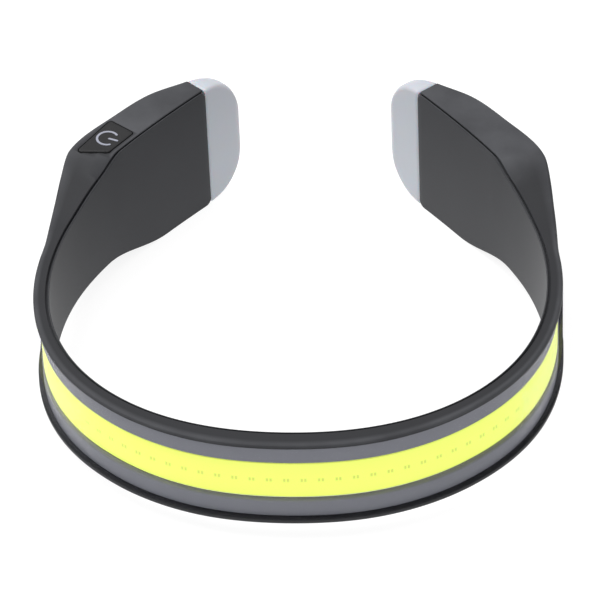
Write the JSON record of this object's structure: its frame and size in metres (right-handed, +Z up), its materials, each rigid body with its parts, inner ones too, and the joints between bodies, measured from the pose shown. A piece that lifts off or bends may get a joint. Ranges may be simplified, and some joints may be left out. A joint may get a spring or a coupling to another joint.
{
  "type": "headlamp",
  "caption": "Strapless headlamp: a springy C-shaped band with a wide curved light strip under a long lens, a control pod and a battery pod at the rear, and soft frosted tips.",
  "frame": {"origin": "under the middle of the overall box, on the plane that the two pods stand on", "axes": "+Z up, -Y the way the light faces, +X towards the battery pod (the wearer's left)"},
  "size_m": [0.1694, 0.1778, 0.0482],
  "materials": {
    "soft_band": "matte soft-touch elastomer",
    "pod_shell": "matte, soft-touch coated",
    "lens": "smoky clear, glossy",
    "bezel": "satin grey",
    "phosphor": "smooth yellow silicone",
    "led_board": "white flexible circuit",
    "flat_leads": "amber flexible circuit",
    "spring_steel": "cold rolled",
    "frosted_tip": "frosted translucent silicone",
    "circuit_board": "green solder mask",
    "screw": "zinc plated",
    "socket_shell": "drawn steel",
    "switch": "moulded",
    "button": "matte rubber",
    "flap": "matte rubber",
    "lead_cover": "extruded insulation",
    "cell_foil": "aluminium laminate film",
    "foam": "closed-cell foam"
  },
  "bodies": {
    "front_band": {"front_frame": "pod_shell", "front_liner": "soft_band", "light_lens": "lens", "strip_bezel": "bezel", "led_board": "led_board", "phosphor_strip": "phosphor", "spring_strip": "spring_steel", "flat_leads": "flat_leads"},
    "left_arm": {"left_pod_shell": "pod_shell", "left_pod_cover": "soft_band", "left_tip": "frosted_tip", "left_spring_tail": "spring_steel", "left_leads_tail": "flat_leads", "main_board": "circuit_board", "board_screw_1": "screw", "board_screw_2": "screw", "charge_socket": "socket_shell", "switch_body": "switch", "board_lead": "lead_cover"},
    "right_arm": {"right_pod_shell": "pod_shell", "right_pod_cover": "soft_band", "right_tip": "frosted_tip", "right_spring_tail": "spring_steel", "right_leads_tail": "flat_leads", "battery_cell": "cell_foil", "cell_board": "circuit_board", "cell_pad": "foam", "cell_lead": "lead_cover"},
    "power_button": {"power_button": "button"},
    "switch_plunger": {"switch_plunger": "switch"},
    "charge_flap": {"charge_flap": "flap"}
  },
  "joints": [
    {"name": "left_arm_flex", "type": "hinge", "parent": "front_band", "child": "left_arm", "pos_m": [-0.08321, -0.00157, 0.0227], "axis": [0, 0, 1], "range_deg": [-4, 15], "stiffness_Nm_per_rad": 1.4},
    {"name": "right_arm_flex", "type": "hinge", "parent": "front_band", "child": "right_arm", "pos_m": [0.08321, -0.00157, 0.0227], "axis": [0, 0, -1], "range_deg": [-4, 15], "stiffness_Nm_per_rad": 1.4},
    {"name": "power_button_press", "type": "slide", "parent": "left_arm", "child": "power_button", "axis": [0, 0, -1], "range_m": [0, 0.0005], "stiffness_N_per_m": 4000},
    {"name": "switch_plunger_travel", "type": "slide", "parent": "left_arm", "child": "switch_plunger", "axis": [0, 0, -1], "range_m": [0, 0.00025]},
    {"name": "charge_flap_hinge", "type": "hinge", "parent": "left_arm", "child": "charge_flap", "pos_m": [-0.05668, 0.06193, 0.0001], "axis": [-0.788, 0.6156, 0], "range_deg": [0, 100]}
  ],
  "couplings": [
    {"joint": "switch_plunger_travel", "follows": "power_button_press", "ratio": 0.5}
  ]
}
